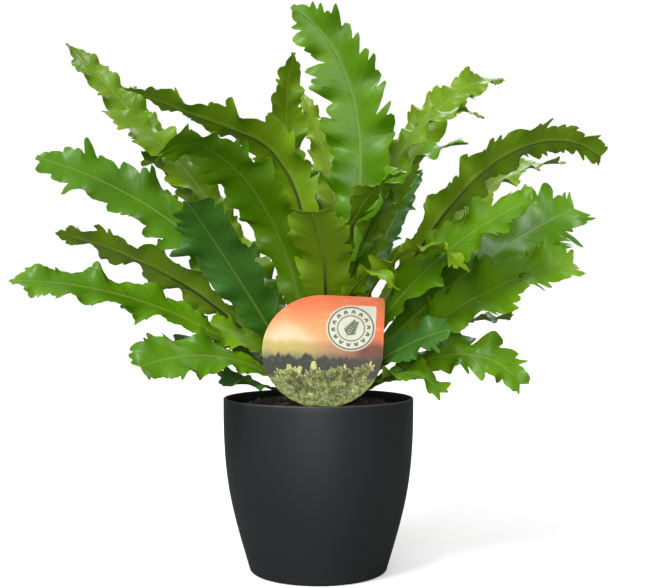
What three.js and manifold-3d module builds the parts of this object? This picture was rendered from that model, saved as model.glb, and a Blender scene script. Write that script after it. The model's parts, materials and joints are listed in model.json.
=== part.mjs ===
// Potted bird's-nest fern with ragged, wavy fronds.
// A smooth tapered cover pot holds a nursery pot of soil. The fern's crown sits in the soil,
// its fronds arch out all round, and a printed plant label stands in the soil at the front.
// Millimetres, +Z up. The origin is the centre of the cover pot's flat underside.
// +X is the plant's right and -Y its front, seen by someone who faces the label.
import * as THREE from "three";
import { mergeVertices } from "three/addons/utils/BufferGeometryUtils.js";
import Module from "manifold-3d";

const wasm = await Module();
wasm.setup();

const clearance = 0.35; // gap between pieces that touch in the real plant

const coverPot = {
  height: 127,
  rimRadius: 70,
  footRadius: 48,
  footRounding: 3,
  footFlare: 17, // degrees from upright at the foot; the side is upright at the rim
  wall: 2.2,
  floor: 3,
  segments: 44,
};

const nurseryPot = {
  rimDrop: 6.65, // from the cover pot's rim down to its own
  rimGap: 8.3, // from its lip out to the cover pot's wall
  baseGap: 2.8, // from its base out to the cover pot's wall
  wall: 1.2,
  lipWidth: 2.6,
  lipHeight: 5,
  holeRadius: 4,
  holeInset: 13, // from the base's edge in to the middle of a drainage hole
  holes: 6,
  segments: 44,
};

// The soil's edge stands rise above the nursery pot's rim, and its middle heap above its edge.
const soil = { rise: 1, heap: 4.5, edgeDrop: 1.5 };

// The lowest stalks leave the crown lowestLean degrees from upright, stalkRise above the soil.
const crown = { radius: 30, lowestLean: 60, stalkRise: 2, stubRadius: 17, stubLength: 30 };

const blade = {
  stations: 15,
  petioleWidth: 5.6,
  topRidge: 0.35,
  keel: 1.25,
  channel: 0.16, // rise of the margins above the midrib, as a share of the half width
  lobeDepth: 0.14,
  steps: 6, // integration steps between two stations
};

const label = {
  radius: 42.5,
  thickness: 0.8,
  corner: 1.5,
  buried: 6, // how deep the round edge stands in the soil
  stakeWidth: 14,
  stakeLength: 40,
  // The fronds leave a free wedge for the card: its corner is this far in front of the crown's
  // middle, and it opens by this many degrees to either side.
  wedgeCorner: 20.5,
  wedgeAngle: 65.4,
  sideways: 3,
  backTilt: 4,
  turn: 2.5, // clockwise, seen from the front
};

const colours = {
  pot: 0x2f3334,
  nursery: 0x1d1b1a,
  soil: 0x2b1d16,
  crown: 0x3d3a1c,
  label: 0xd98d58,
};

// Each frond leaves the crown towards its azimuth (degrees, 0 is right, 90 is back, 180 is left)
// and leans away from upright by lean[0] at its base and lean[1] at its tip. bend says how late
// it arches and until where the arch ends, as a share of the length. sweep turns its azimuth on
// the way, and roll turns the blade about its own midrib. A frond with overLabel arches above the
// card: its foot runs on straight by what the card's top stands higher than overLabel above the crown.
const fronds = [
  // Upright fronds in the middle.
  { name: "tall_frond", azimuth: 2, lean: [12, -60], bend: 3, length: 292, width: 56, roll: [75, 75] },
  { name: "lime_frond", azimuth: 130, lean: [12, -20], bend: 4, length: 248, width: 38, roll: [-10, -10] },
  { name: "narrow_frond", azimuth: 62, lean: [24, 30], bend: 1, sweep: 75, length: 262, width: 28, roll: [36, -26] },
  { name: "hooked_frond", azimuth: 186, lean: [3, 70], bend: 4, until: 0.66, length: 292, width: 56, roll: [85, 0] },
  { name: "front_frond_1", overLabel: 62, azimuth: 286, lean: [14, 62], bend: 1.3, sweep: -35, length: 145, width: 46, roll: [0, 0] },
  { name: "front_frond_2", overLabel: 60, azimuth: 307, lean: [19, 150], bend: 3, length: 120, width: 21, roll: [0, 0] },
  // Left side, from the top down.
  { name: "left_frond_1", azimuth: 160, lean: [27, 48], bend: 1, length: 336, width: 40, roll: [-40, -50] },
  { name: "left_frond_2", azimuth: 170, lean: [26, 72], bend: 3, length: 262, width: 38, roll: [-30, -40] },
  { name: "left_frond_3", azimuth: 186, lean: [25, 75], bend: 1, length: 258, width: 52, roll: [-50, -60] },
  { name: "left_frond_4", azimuth: 225, lean: [12, 93], bend: 2, length: 226, width: 52, roll: [30, 20] },
  { name: "left_frond_5", azimuth: 213, lean: [32, 39], bend: 1, length: 157, width: 58, roll: [30, 30] },
  { name: "left_frond_6", azimuth: 176, lean: [38, 78], bend: 1, length: 216, width: 44, roll: [65, 25] },
  { name: "left_frond_7", azimuth: 187, lean: [47, 90], bend: 1, length: 220, width: 40, roll: [-30, -40] },
  { name: "left_frond_8", azimuth: 195, lean: [37, 72], bend: 1, length: 78, width: 36, roll: [-35, -35] },
  { name: "left_frond_9", azimuth: 214, lean: [51, 108], bend: 1, length: 126, width: 50, roll: [-35, -40] },
  { name: "left_frond_10", azimuth: 214, lean: [59, 100], bend: 1, length: 56, width: 34, roll: [-10, -10] },
  // Right side, from the top down.
  { name: "right_frond_1", azimuth: 35, lean: [20, 88], bend: 3, length: 318, width: 36, roll: [50, 40] },
  { name: "right_frond_2", azimuth: 15, lean: [16, 124], bend: 5, length: 258, width: 28, roll: [30, 20] },
  { name: "right_frond_3", azimuth: 332, lean: [14, 96], bend: 3, length: 214, width: 40, roll: [40, 20] },
  { name: "right_frond_4", azimuth: 302, lean: [10, 88], bend: 2, length: 187, width: 34, roll: [20, 20] },
  { name: "right_frond_5", azimuth: 55, lean: [33, 50], bend: 2, length: 220, width: 24, roll: [20, 20] },
  { name: "right_frond_6", azimuth: 5, lean: [31, 132], bend: 4, length: 290, width: 42, roll: [-60, -40] },
  { name: "right_frond_7", azimuth: 24, lean: [36, 92], bend: 3, length: 278, width: 34, roll: [20, 10] },
  { name: "right_frond_8", azimuth: 5, lean: [43, 65], bend: 1.3, length: 219, width: 60, roll: [50, 55] },
  { name: "right_frond_9", azimuth: 343, lean: [33, 68], length: 194, width: 54, roll: [50, 40] },
  { name: "right_frond_10", azimuth: 353, lean: [50, 80], bend: 2, length: 188, width: 56, roll: [40, 45] },
  { name: "right_frond_11", azimuth: 343, lean: [22, 150], bend: 3, sweep: -24, length: 158, width: 30, roll: [20, 0] },
  { name: "right_frond_12", azimuth: 334, lean: [48, 76], bend: 1.2, length: 93, width: 40, roll: [50, 45] },
  { name: "right_frond_13", azimuth: 347, lean: [60, 150], bend: 2.5, length: 134, width: 38, roll: [40, 60] },
  { name: "right_frond_14", azimuth: 329, lean: [60, 150], bend: 2.5, length: 80, width: 30, roll: [15, 15] },
  // The back, which fills the nest behind the others.
  { name: "back_frond_1", azimuth: 45, lean: [40, 88], length: 225, width: 46, roll: [10, 10] },
  { name: "back_frond_2", azimuth: 66, lean: [36, 100], bend: 2, length: 200, width: 46, roll: [0, 0] },
  { name: "back_frond_3", azimuth: 86, lean: [28, 62], length: 260, width: 46, roll: [0, 0] },
  { name: "back_frond_4", azimuth: 90, lean: [38, 85], length: 245, width: 48, roll: [0, 0] },
  { name: "back_frond_5", azimuth: 106, lean: [22, 60], length: 270, width: 46, roll: [0, 0] },
  { name: "back_frond_6", azimuth: 122, lean: [38, 88], length: 245, width: 48, roll: [0, 0] },
  { name: "back_frond_7", azimuth: 140, lean: [32, 80], length: 250, width: 46, roll: [0, 0] },
  { name: "back_frond_8", azimuth: 157, lean: [50, 96], length: 165, width: 44, roll: [0, 0] },
  { name: "back_frond_9", azimuth: 135, lean: [57, 108], length: 150, width: 44, roll: [0, 0] },
  { name: "back_frond_10", azimuth: 108, lean: [57, 110], length: 200, width: 44, roll: [0, 0] },
  { name: "back_frond_11", azimuth: 80, lean: [57, 108], length: 205, width: 44, roll: [0, 0] },
  { name: "back_frond_12", azimuth: 46, lean: [58, 104], length: 150, width: 44, roll: [0, 0] },
  { name: "back_frond_13", azimuth: 26, lean: [54, 96], length: 160, width: 42, roll: [0, 0] },
];

const degrees = Math.PI / 180;

// ---- Solids: closed geometry to manifold-3d and back ----

function solidOf(geometry) {
  const bare = geometry.clone();
  bare.deleteAttribute("normal");
  bare.deleteAttribute("uv");
  const merged = mergeVertices(bare, 1e-3);
  return new wasm.Manifold(
    new wasm.Mesh({
      numProp: 3,
      vertProperties: merged.attributes.position.array,
      triVerts: new Uint32Array(merged.index.array),
    }),
  );
}

function geometryOf(solid) {
  const mesh = solid.getMesh();
  const geometry = new THREE.BufferGeometry();
  geometry.setAttribute("position", new THREE.BufferAttribute(mesh.vertProperties, 3));
  geometry.setIndex(new THREE.BufferAttribute(mesh.triVerts, 1));
  geometry.computeVertexNormals();
  return geometry;
}

// A lathed solid about +Z. The profile holds Vector2(radius, height) and runs from the axis at the
// bottom, up the outside, and back to the axis.
function lathed(profile, segments) {
  return new THREE.LatheGeometry(profile, segments).rotateX(Math.PI / 2);
}

// ---- Cover pot ----

// The outer side is one cubic curve: flared at the foot and upright at the rim.
const pull = coverPot.height * 0.42;
const coverSide = new THREE.CubicBezierCurve(
  new THREE.Vector2(coverPot.footRadius + coverPot.footRounding, coverPot.footRounding),
  new THREE.Vector2(
    coverPot.footRadius + coverPot.footRounding + pull * Math.sin(coverPot.footFlare * degrees),
    coverPot.footRounding + pull * Math.cos(coverPot.footFlare * degrees),
  ),
  new THREE.Vector2(coverPot.rimRadius, coverPot.height - pull),
  new THREE.Vector2(coverPot.rimRadius, coverPot.height - coverPot.wall / 2),
);

function coverPotGeometry() {
  const outside = coverSide.getPoints(9);
  const inside = outside
    .map((point) => new THREE.Vector2(point.x - coverPot.wall, point.y))
    .filter((point) => point.y > coverPot.floor + 1)
    .reverse();
  const footCorner = new THREE.Vector2(
    coverPot.footRadius + coverPot.footRounding * 0.7,
    coverPot.footRounding * 0.3,
  );
  return lathed(
    [
      new THREE.Vector2(0, 0),
      new THREE.Vector2(coverPot.footRadius, 0),
      footCorner,
      ...outside,
      new THREE.Vector2(coverPot.rimRadius - coverPot.wall / 2, coverPot.height),
      ...inside,
      new THREE.Vector2(coverPot.footRadius - coverPot.wall, coverPot.floor),
      new THREE.Vector2(0, coverPot.floor),
    ],
    coverPot.segments,
  );
}

// ---- Nursery pot ----

const nurseryFoot = coverPot.floor + clearance;
const nurseryTop = coverPot.height - nurseryPot.rimDrop;
const nurseryLipFoot = nurseryTop - nurseryPot.lipHeight;
const nurseryRimRadius = coverPot.rimRadius - coverPot.wall - nurseryPot.rimGap;
const nurseryBaseRadius = coverPot.footRadius - coverPot.wall - nurseryPot.baseGap;

// The outer radius of the nursery pot's tapered side at a height.
function nurseryRadius(height) {
  const share = (height - nurseryFoot) / (nurseryTop - nurseryFoot);
  return THREE.MathUtils.lerp(nurseryBaseRadius, nurseryRimRadius - nurseryPot.lipWidth, share);
}

function nurseryPotGeometry() {
  const innerFloor = nurseryFoot + nurseryPot.wall;
  const tub = solidOf(
    lathed(
      [
        new THREE.Vector2(0, nurseryFoot),
        new THREE.Vector2(nurseryBaseRadius, nurseryFoot),
        new THREE.Vector2(nurseryRadius(nurseryLipFoot), nurseryLipFoot),
        new THREE.Vector2(nurseryRimRadius, nurseryLipFoot + 1),
        new THREE.Vector2(nurseryRimRadius, nurseryTop),
        new THREE.Vector2(nurseryRadius(nurseryTop) - nurseryPot.wall, nurseryTop),
        new THREE.Vector2(nurseryRadius(innerFloor) - nurseryPot.wall, innerFloor),
        new THREE.Vector2(0, innerFloor),
      ],
      nurseryPot.segments,
    ),
  );
  const holeCircle = nurseryBaseRadius - nurseryPot.holeInset;
  const drillLength = 4 * nurseryPot.wall;
  let drained = tub;
  for (let i = 0; i < nurseryPot.holes; i++) {
    const angle = (2 * Math.PI * i) / nurseryPot.holes;
    const drill = new THREE.CylinderGeometry(nurseryPot.holeRadius, nurseryPot.holeRadius, drillLength, 10)
      .rotateX(Math.PI / 2)
      .translate(holeCircle * Math.cos(angle), holeCircle * Math.sin(angle), nurseryFoot);
    drained = drained.subtract(solidOf(drill));
  }
  return geometryOf(drained);
}

// ---- Crown and soil ----

const soilEdge = nurseryTop + soil.rise;
const soilTop = soilEdge + soil.heap;
const lowestStalk = crown.radius * Math.cos(crown.lowestLean * degrees);
const crownCentre = new THREE.Vector3(0, 0, soilTop + crown.stalkRise - lowestStalk);

// The crown's outline, grown outwards by a gap: a short root stock under a round head of frond bases.
function crownProfile(gap) {
  const radius = crown.radius + gap;
  const stubFoot = crownCentre.z - crown.stubLength - gap;
  const points = [
    new THREE.Vector2(0, stubFoot),
    new THREE.Vector2(crown.stubRadius * 0.7 + gap, stubFoot),
    new THREE.Vector2(crown.stubRadius + gap, stubFoot + crown.stubLength * 0.35),
  ];
  for (let angle = -15; angle < 90; angle += 15) {
    points.push(
      new THREE.Vector2(radius * Math.cos(angle * degrees), crownCentre.z + radius * Math.sin(angle * degrees)),
    );
  }
  points.push(new THREE.Vector2(0, crownCentre.z + radius));
  return points;
}

// The soil's radius inside the nursery pot at a height.
function soilRadius(height) {
  return nurseryRadius(height) - nurseryPot.wall - clearance;
}

// The label's own frame: its card faces -Y, leans back and is turned a little clockwise.
const labelForward = label.wedgeCorner + label.radius / Math.tan(label.wedgeAngle * degrees);
const labelTop = soilTop - label.buried + 2 * label.radius;
const labelMatrix = new THREE.Matrix4()
  .makeTranslation(label.sideways, -labelForward, soilTop - label.buried + label.radius)
  .multiply(new THREE.Matrix4().makeRotationX(-label.backTilt * degrees))
  .multiply(new THREE.Matrix4().makeRotationY(label.turn * degrees));

function soilGeometry() {
  const gap = clearance;
  const floor = nurseryFoot + nurseryPot.wall + gap;
  const socket = crownProfile(gap).filter((point) => point.y < soilTop - 1);
  const lipRadius = Math.sqrt((crown.radius + gap) ** 2 - (soilTop - crownCentre.z) ** 2);
  const ball = solidOf(
    lathed(
      [
        new THREE.Vector2(0, floor),
        new THREE.Vector2(soilRadius(floor), floor),
        new THREE.Vector2(soilRadius(nurseryTop), nurseryTop - 1),
        new THREE.Vector2(soilRadius(nurseryTop) - 1, soilEdge - soil.edgeDrop),
        new THREE.Vector2(soilRadius(nurseryTop) - 5, soilEdge + 1),
        new THREE.Vector2((soilRadius(nurseryTop) + lipRadius) / 2, soilTop - 1),
        new THREE.Vector2(lipRadius, soilTop),
        ...socket.reverse(),
      ],
      nurseryPot.segments,
    ),
  );
  // One slot takes the buried arc of the card, and a deeper one takes the stake.
  const buriedChord = 2 * Math.sqrt(label.radius ** 2 - (label.radius - label.buried - soil.edgeDrop) ** 2);
  const slotDepth = label.thickness + 2 * gap;
  const cardSlot = new THREE.BoxGeometry(buriedChord + 2 * gap, slotDepth, 2 * label.radius);
  cardSlot.translate(0, 0, gap * -2).applyMatrix4(labelMatrix);
  const stakeSlot = new THREE.BoxGeometry(label.stakeWidth + 2 * gap, slotDepth, label.stakeLength + label.buried);
  stakeSlot
    .translate(0, 0, -label.radius - (label.stakeLength - label.buried) / 2 - 2 * gap)
    .applyMatrix4(labelMatrix);
  return geometryOf(ball.subtract(solidOf(cardSlot)).subtract(solidOf(stakeSlot)));
}

// ---- Plant label ----

// A round card with one square corner and a pointed stake, cut from one plastic sheet.
function labelGeometry() {
  const r = label.radius;
  const half = label.stakeWidth / 2;
  const entry = Math.asin(half / r);
  const outline = new THREE.Shape();
  outline.moveTo(half, -r * Math.cos(entry));
  outline.absarc(0, 0, r, -Math.PI / 2 + entry, 0, false);
  outline.lineTo(r, r - label.corner);
  outline.lineTo(r - label.corner, r);
  outline.lineTo(0, r);
  outline.absarc(0, 0, r, Math.PI / 2, 1.5 * Math.PI - entry, false);
  outline.lineTo(-half, -r - label.stakeLength + label.stakeWidth);
  outline.lineTo(0, -r - label.stakeLength);
  outline.lineTo(half, -r - label.stakeLength + label.stakeWidth);
  outline.closePath();
  const card = new THREE.ExtrudeGeometry(outline, {
    depth: label.thickness,
    bevelEnabled: false,
    curveSegments: 12,
  });
  return card.translate(0, 0, -label.thickness / 2).rotateX(Math.PI / 2).applyMatrix4(labelMatrix);
}

// ---- Fronds ----

// The midrib of a frond: its point, direction, side and upper normal at each station.
function midrib(frond) {
  const { azimuth, lean, bend = 1.5, until = 1, roll, sweep = 0, overLabel } = frond;
  const foot = overLabel === undefined ? 0 : labelTop - crownCentre.z - crown.radius - overLabel;
  const length = frond.length + foot;
  const heading = (u) => {
    const arch = Math.max(0, (u * length - foot) / frond.length) / until;
    const angle = (lean[0] + (lean[1] - lean[0]) * Math.min(1, arch) ** bend) * degrees;
    const turn = (azimuth + sweep * u) * degrees;
    return new THREE.Vector3(
      Math.sin(angle) * Math.cos(turn),
      Math.sin(angle) * Math.sin(turn),
      Math.cos(angle),
    );
  };
  const point = heading(0).multiplyScalar(crown.radius + 2 * clearance).add(crownCentre);
  const frames = [];
  const count = blade.stations * blade.steps;
  for (let i = 0; i <= count; i++) {
    const u = i / count;
    const along = heading(u);
    if (i % blade.steps === 0) {
      const turn = (azimuth + sweep * u) * degrees;
      const angle = THREE.MathUtils.lerp(roll[0], roll[1], u) * degrees;
      const side = new THREE.Vector3(-Math.sin(turn), Math.cos(turn), 0).applyAxisAngle(along, angle);
      frames.push({ point: point.clone(), side, normal: along.clone().cross(side) });
    }
    point.addScaledVector(heading(u + 0.5 / count), length / count);
  }
  return frames;
}

// Half the blade's width at a share u of its length: a thin petiole, a full blade and a pointed tip.
function halfWidth(frond, u) {
  const swell = THREE.MathUtils.smoothstep(u, 0.04, 0.62);
  const tip = Math.sqrt(Math.max(0, 1 - u ** 5));
  return (blade.petioleWidth / 2) * (1 - swell) + (frond.width / 2) * swell * tip;
}

// A four-sided cone whose second and fourth sides split each of their quads along the other
// diagonal. The two faces of a half blade then split alike, and a twisted blade can't cut itself.
function bladeCone() {
  const cone = new THREE.ConeGeometry(1, 1, 4, blade.stations);
  const index = cone.index.array;
  const trianglesPerSide = 2 * blade.stations - 1;
  for (const side of [1, 3]) {
    for (let row = 1; row < blade.stations; row++) {
      const first = 3 * (side * trianglesPerSide + 2 * row - 1);
      const [a, b, d, , c] = index.slice(first, first + 6);
      index.set([a, b, c, a, c, d], first);
    }
  }
  return cone.toNonIndexed();
}

// A closed blade: the cone's corners become the two margins, the top of the midrib and the keel
// under it, and its apex becomes the tip.
function frondGeometry(frond) {
  const geometry = bladeCone();
  const frames = midrib(frond);
  const position = geometry.attributes.position;
  const vertex = new THREE.Vector3();
  for (let i = 0; i < position.count; i++) {
    vertex.fromBufferAttribute(position, i);
    const u = vertex.y + 0.5;
    const station = Math.round(u * blade.stations);
    const { point, side, normal } = frames[station];
    const radius = Math.max(1 - u, 1e-9);
    const onRing = Math.hypot(vertex.x, vertex.z) > 1e-6;
    const across = onRing ? -Math.round(vertex.x / radius) : 0;
    const above = onRing ? Math.round(vertex.z / radius) : 0;
    const lobe = station % 2 ? 1 : 1 - blade.lobeDepth * THREE.MathUtils.smoothstep(u, 0.2, 0.5);
    const reach = halfWidth(frond, u) * lobe;
    const thin = 1 - 0.75 * u;
    const lift = above > 0 ? blade.topRidge * thin : above < 0 ? -blade.keel * thin : 0;
    vertex
      .copy(point)
      .addScaledVector(side, across * reach)
      .addScaledVector(normal, Math.abs(across) * reach * blade.channel + lift);
    position.setXYZ(i, vertex.x, vertex.y, vertex.z);
  }
  geometry.computeVertexNormals();
  return geometry;
}

// ---- The object ----

const group = new THREE.Group();

function add(name, geometry, colour, roughness) {
  const material = new THREE.MeshStandardMaterial({ color: colour, roughness, metalness: 0 });
  const mesh = new THREE.Mesh(geometry, material);
  mesh.name = name;
  group.add(mesh);
}

add("cover_pot", coverPotGeometry(), colours.pot, 0.45);
add("nursery_pot", nurseryPotGeometry(), colours.nursery, 0.6);
add("soil", soilGeometry(), colours.soil, 0.95);
add("crown", lathed(crownProfile(0), nurseryPot.segments), colours.crown, 0.9);
add("plant_label", labelGeometry(), colours.label, 0.35);
fronds.forEach((frond, i) => {
  const green = new THREE.Color().setHSL(0.26 + 0.02 * Math.sin(2.4 * i), 0.68, 0.29);
  add(frond.name, frondGeometry(frond), green, 0.5);
});

export default group;
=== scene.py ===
import json
import math
import random

import bmesh
import bpy
import numpy as np
from mathutils import Euler, Matrix, Vector, noise


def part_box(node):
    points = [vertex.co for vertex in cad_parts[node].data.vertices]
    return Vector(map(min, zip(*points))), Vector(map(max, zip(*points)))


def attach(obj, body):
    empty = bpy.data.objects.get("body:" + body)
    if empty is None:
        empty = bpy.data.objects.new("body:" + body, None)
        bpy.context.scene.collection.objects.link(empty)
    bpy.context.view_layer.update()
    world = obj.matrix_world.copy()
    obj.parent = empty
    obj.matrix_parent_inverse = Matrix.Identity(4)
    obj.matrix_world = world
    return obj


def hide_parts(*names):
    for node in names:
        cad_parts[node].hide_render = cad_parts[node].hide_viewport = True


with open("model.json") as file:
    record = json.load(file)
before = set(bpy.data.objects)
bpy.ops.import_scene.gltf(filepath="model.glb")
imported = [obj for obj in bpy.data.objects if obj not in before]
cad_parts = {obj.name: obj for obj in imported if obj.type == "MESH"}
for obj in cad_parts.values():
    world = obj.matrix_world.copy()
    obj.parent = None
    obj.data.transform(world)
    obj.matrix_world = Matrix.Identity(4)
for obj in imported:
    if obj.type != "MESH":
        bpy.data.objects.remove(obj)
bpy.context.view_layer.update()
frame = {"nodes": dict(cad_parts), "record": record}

mm = 0.001


# Shader maths: Python operators on a wire add Math nodes.
class Wire:
    def __init__(self, graph, socket):
        self.graph = graph
        self.socket = socket

    def math(self, operation, *values):
        return self.graph.node("ShaderNodeMath", {"operation": operation}, dict(enumerate(values)))

    def __add__(self, other):
        return self.math("ADD", self, other)

    def __radd__(self, other):
        return self.math("ADD", other, self)

    def __sub__(self, other):
        return self.math("SUBTRACT", self, other)

    def __rsub__(self, other):
        return self.math("SUBTRACT", other, self)

    def __mul__(self, other):
        return self.math("MULTIPLY", self, other)

    def __rmul__(self, other):
        return self.math("MULTIPLY", other, self)

    def __truediv__(self, other):
        return self.math("DIVIDE", self, other)

    def __pow__(self, other):
        return self.math("POWER", self, other)

    def __abs__(self):
        return self.math("ABSOLUTE", self)

    def ramp(self, low, high):  # 0 below low, 1 above high, smooth between
        inputs = {"Value": self, "From Min": low, "From Max": high}
        return self.graph.node("ShaderNodeMapRange", {"interpolation_type": "SMOOTHSTEP"}, inputs)


# The nodes of one material or world.
class Graph:
    def __init__(self, owner):
        self.owner = owner
        owner.use_nodes = True
        self.tree = owner.node_tree
        self.tree.nodes.clear()

    def node(self, kind, settings=None, inputs=None, output=0):
        made = self.tree.nodes.new(kind)
        for key, value in (settings or {}).items():
            if key == "stops":
                self.setStops(made.color_ramp, value)
            else:
                setattr(made, key, value)
        for key, value in (inputs or {}).items():
            if isinstance(value, Wire):
                self.tree.links.new(value.socket, made.inputs[key])
            else:
                made.inputs[key].default_value = value
        return Wire(self, made.outputs[output]) if made.outputs else None

    def setStops(self, ramp, stops):
        while len(ramp.elements) < len(stops):
            ramp.elements.new(0.5)
        for element, (place, colour) in zip(ramp.elements, stops):
            element.position = place
            element.color = (*colour, 1)

    def mix(self, share, first, second):
        first, second = [c if isinstance(c, Wire) else (*c, 1) for c in (first, second)]
        return self.node("ShaderNodeMix", {"data_type": "RGBA"}, {0: share, 6: first, 7: second}, 2)

    def attribute(self, name):
        return self.node("ShaderNodeAttribute", {"attribute_name": name}, output="Fac")

    def place(self, scale=1):  # the object's own coordinates
        where = self.node("ShaderNodeTexCoord", output="Object")
        size = (scale, scale, scale) if isinstance(scale, (int, float)) else scale
        return self.node("ShaderNodeMapping", {}, {"Vector": where, "Scale": size})

    def point(self, x, y, z):
        return self.node("ShaderNodeCombineXYZ", {}, {0: x, 1: y, 2: z})

    def noise(self, where, scale, detail=3, roughness=0.5):
        inputs = {"Vector": where, "Scale": scale, "Detail": detail, "Roughness": roughness}
        return self.node("ShaderNodeTexNoise", {}, inputs)

    def bump(self, height, strength, distance):
        inputs = {"Height": height, "Strength": strength, "Distance": distance}
        return self.node("ShaderNodeBump", {}, inputs)

    def finish(self, **inputs):
        named = {key.replace("_", " "): value for key, value in inputs.items()}
        shader = self.node("ShaderNodeBsdfPrincipled", {}, named)
        self.node("ShaderNodeOutputMaterial", {}, {"Surface": shader})
        return self.owner


def newMaterial(name):
    return Graph(bpy.data.materials.new(name))


def smoothStep(low, high, value):
    share = np.clip((value - low) / (high - low), 0, 1)
    return share * share * (3 - 2 * share)


# A bmesh becomes a piece that rides on the root body.
def makePiece(name, shape, materials, replaced=(), sharpAngle=40):
    mesh = bpy.data.meshes.new(name)
    shape.to_mesh(mesh)
    shape.free()
    for material in materials:
        mesh.materials.append(material)
    mesh.shade_smooth()
    mesh.set_sharp_from_angle(angle=math.radians(sharpAngle))
    piece = bpy.data.objects.new(name, mesh)
    bpy.context.collection.objects.link(piece)
    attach(piece, "root")
    if replaced:
        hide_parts(*replaced)
    return piece


# A blade's own green, the paler green it is mottled with and whose pale patches also paint glossy
# reflections, and its underside, lifted by painted light.
leafTones = {
    "frond": {
        "blade": (0.078, 0.215, 0.001),
        "paleAndSheen": (0.165, 0.32, 0.003),
        "under": (0.15, 0.265, 0.004),
    },
    # the young fronds' lime greens are partly their own and partly painted light shining through
    # them from behind
    "young_frond": {
        "blade": (0.14, 0.27, 0.002),
        "paleAndSheen": (0.24, 0.365, 0.006),
        "under": (0.22, 0.33, 0.008),
    },
    # painted shade: the shaded fronds take a darker copy of the frond greens, and their bluish
    # paler green paints a sheen
    "shaded_frond": {
        "blade": (0.034, 0.135, 0.004),
        "paleAndSheen": (0.06, 0.17, 0.028),
        "under": (0.06, 0.14, 0.008),
    },
}
leafFinish = {
    # painted shade: the darkest green, laid in dark patches and towards the midrib
    "paintedShadeShare": 0.45,  # the darkest green, as a share of the blade's own
    "stalk": (0.3, 0.36, 0.1),  # paler towards the foot
    "ribTop": (0.33, 0.39, 0.07),
    "ribBrown": (0.035, 0.017, 0.008),
    "roughness": 0.36,
    "specular": 0.26,
    "veinSpacing": 1.25,  # millimetres
    "veinHeight": 0.48 * mm,
    "glow": 0.22,  # light that passes through the leaf
    "glowRadius": (0.4, 1.0, 0.02),
    "glowScale": 1.2 * mm,
}


def leafMaterial(name, tone):
    g = newMaterial(name)
    upper = g.attribute("upper")
    along = g.attribute("along")
    edge = g.attribute("edge")
    rib = g.attribute("ribDistance")
    tint = g.attribute("tint")
    vein = g.attribute("veinPlace")
    ribMask = 1 - rib.ramp(0.75, 1.25)
    # fine veins run out from the midrib and fork now and then
    veinPoint = g.point(vein / leafFinish["veinSpacing"], edge * 1.5, tint * 37)
    streaks = g.noise(veinPoint, 1.0, 2, 0.6)
    broad = g.noise(g.place(26), 1.0, 3)
    blotches = g.noise(g.place(9), 1.0, 2)
    mottle = (streaks - 0.5) * 0.55 + (broad - 0.5) * 0.9 + (blotches - 0.5) * 1.1
    # pale patches: partly the blade's own mottle, partly painted glossy reflections
    palerAndSheen = (0.3 + mottle + (tint - 0.5) * 0.9 + edge**3 * 0.16).ramp(0.0, 1.0)
    top = g.mix(palerAndSheen, tone["blade"], tone["paleAndSheen"])
    # painted shade: darker green in random dark patches, on darker fronds and towards the midrib
    paintedShade = tuple(c * leafFinish["paintedShadeShare"] for c in tone["blade"])
    top = g.mix((0.6 - mottle - tint * 0.3 - edge * 0.15).ramp(0.3, 1.1), top, paintedShade)
    # the underside green is lifted towards the upper one: painted light on faces turned away from
    # the lamps
    below = g.mix(palerAndSheen * 0.6, tone["under"], tone["paleAndSheen"])
    blade = g.mix(upper, below, top)
    blade = g.mix((1 - along.ramp(0.02, 0.3)) * 0.45, blade, leafFinish["stalk"])
    brownness = (1 - (along + (broad - 0.5) * 0.3).ramp(0.45, 0.95)) * (1 - upper * 0.75)
    ribColour = g.mix(brownness, leafFinish["ribTop"], leafFinish["ribBrown"])
    colour = g.mix(ribMask * (0.32 + brownness * 0.55), blade, ribColour)
    height = streaks * (1 - ribMask) * (1 - along.ramp(0.65, 0.92) * 0.9)  # flatter at the tip
    return g.finish(
        Base_Color=colour,
        Roughness=leafFinish["roughness"] + (broad - 0.5) * 0.25 + (1 - upper) * 0.12,
        Normal=g.bump(height, 0.4, leafFinish["veinHeight"]),
        Subsurface_Weight=leafFinish["glow"],
        Subsurface_Radius=leafFinish["glowRadius"],
        Subsurface_Scale=leafFinish["glowScale"],
        Specular_IOR_Level=leafFinish["specular"],
    )


leafMaterials = {name: leafMaterial(name + "Leaf", tone) for name, tone in leafTones.items()}
print("leaf materials made")


# How a frond's edge is cut and waved. Lengths are millimetres, and depths are shares of its
# half width.
plainHabit = {
    "lobe": 9.5,  # length of one lobe along the edge
    "depth": 0.2,  # how deep the cuts between lobes go
    "tipDepth": 0.42,  # the same near the tip
    "fringe": 0.0,  # how far the last lobes fan out past the tip, as a share of the half width
    "ruffle": 0.26,  # height of the edge's waves
    "tears": 0.3,  # share of the cuts that go deeper
    "wave": 36,  # length of one wave
    "tipWidth": 0.1,  # width left at the very tip
    "fullness": 1.08,  # the blade's width over the CAD blade's
    "turned": False,  # whether the upper face is turned to the other side
    "tint": None,  # 0 dark, 1 pale, None by chance
}
habits = {
    "plain": {},
    "strap": {"lobe": 8, "depth": 0.16, "tipDepth": 0.24, "ruffle": 0.34, "wave": 30},
    "fine": {"lobe": 7, "depth": 0.14, "tipDepth": 0.18, "tears": 0.15, "ruffle": 0.24},
    "broad": {"lobe": 11, "depth": 0.2, "tipDepth": 0.36, "ruffle": 0.2, "wave": 42},
    "blunt": {
        "lobe": 9.5, "depth": 0.2, "tipDepth": 0.28, "fringe": 0.2, "tipWidth": 0.75,
        "ruffle": 0.24,
    },
    "fringed": {
        "lobe": 8.5, "depth": 0.24, "tipDepth": 0.55, "fringe": 0.35, "tipWidth": 0.6,
        "ruffle": 0.22,
    },
    "crested": {
        "lobe": 11, "depth": 0.34, "tipDepth": 0.68, "fringe": 0.7, "tipWidth": 0.6,
        "ruffle": 0.34, "wave": 26,
    },
}
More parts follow.
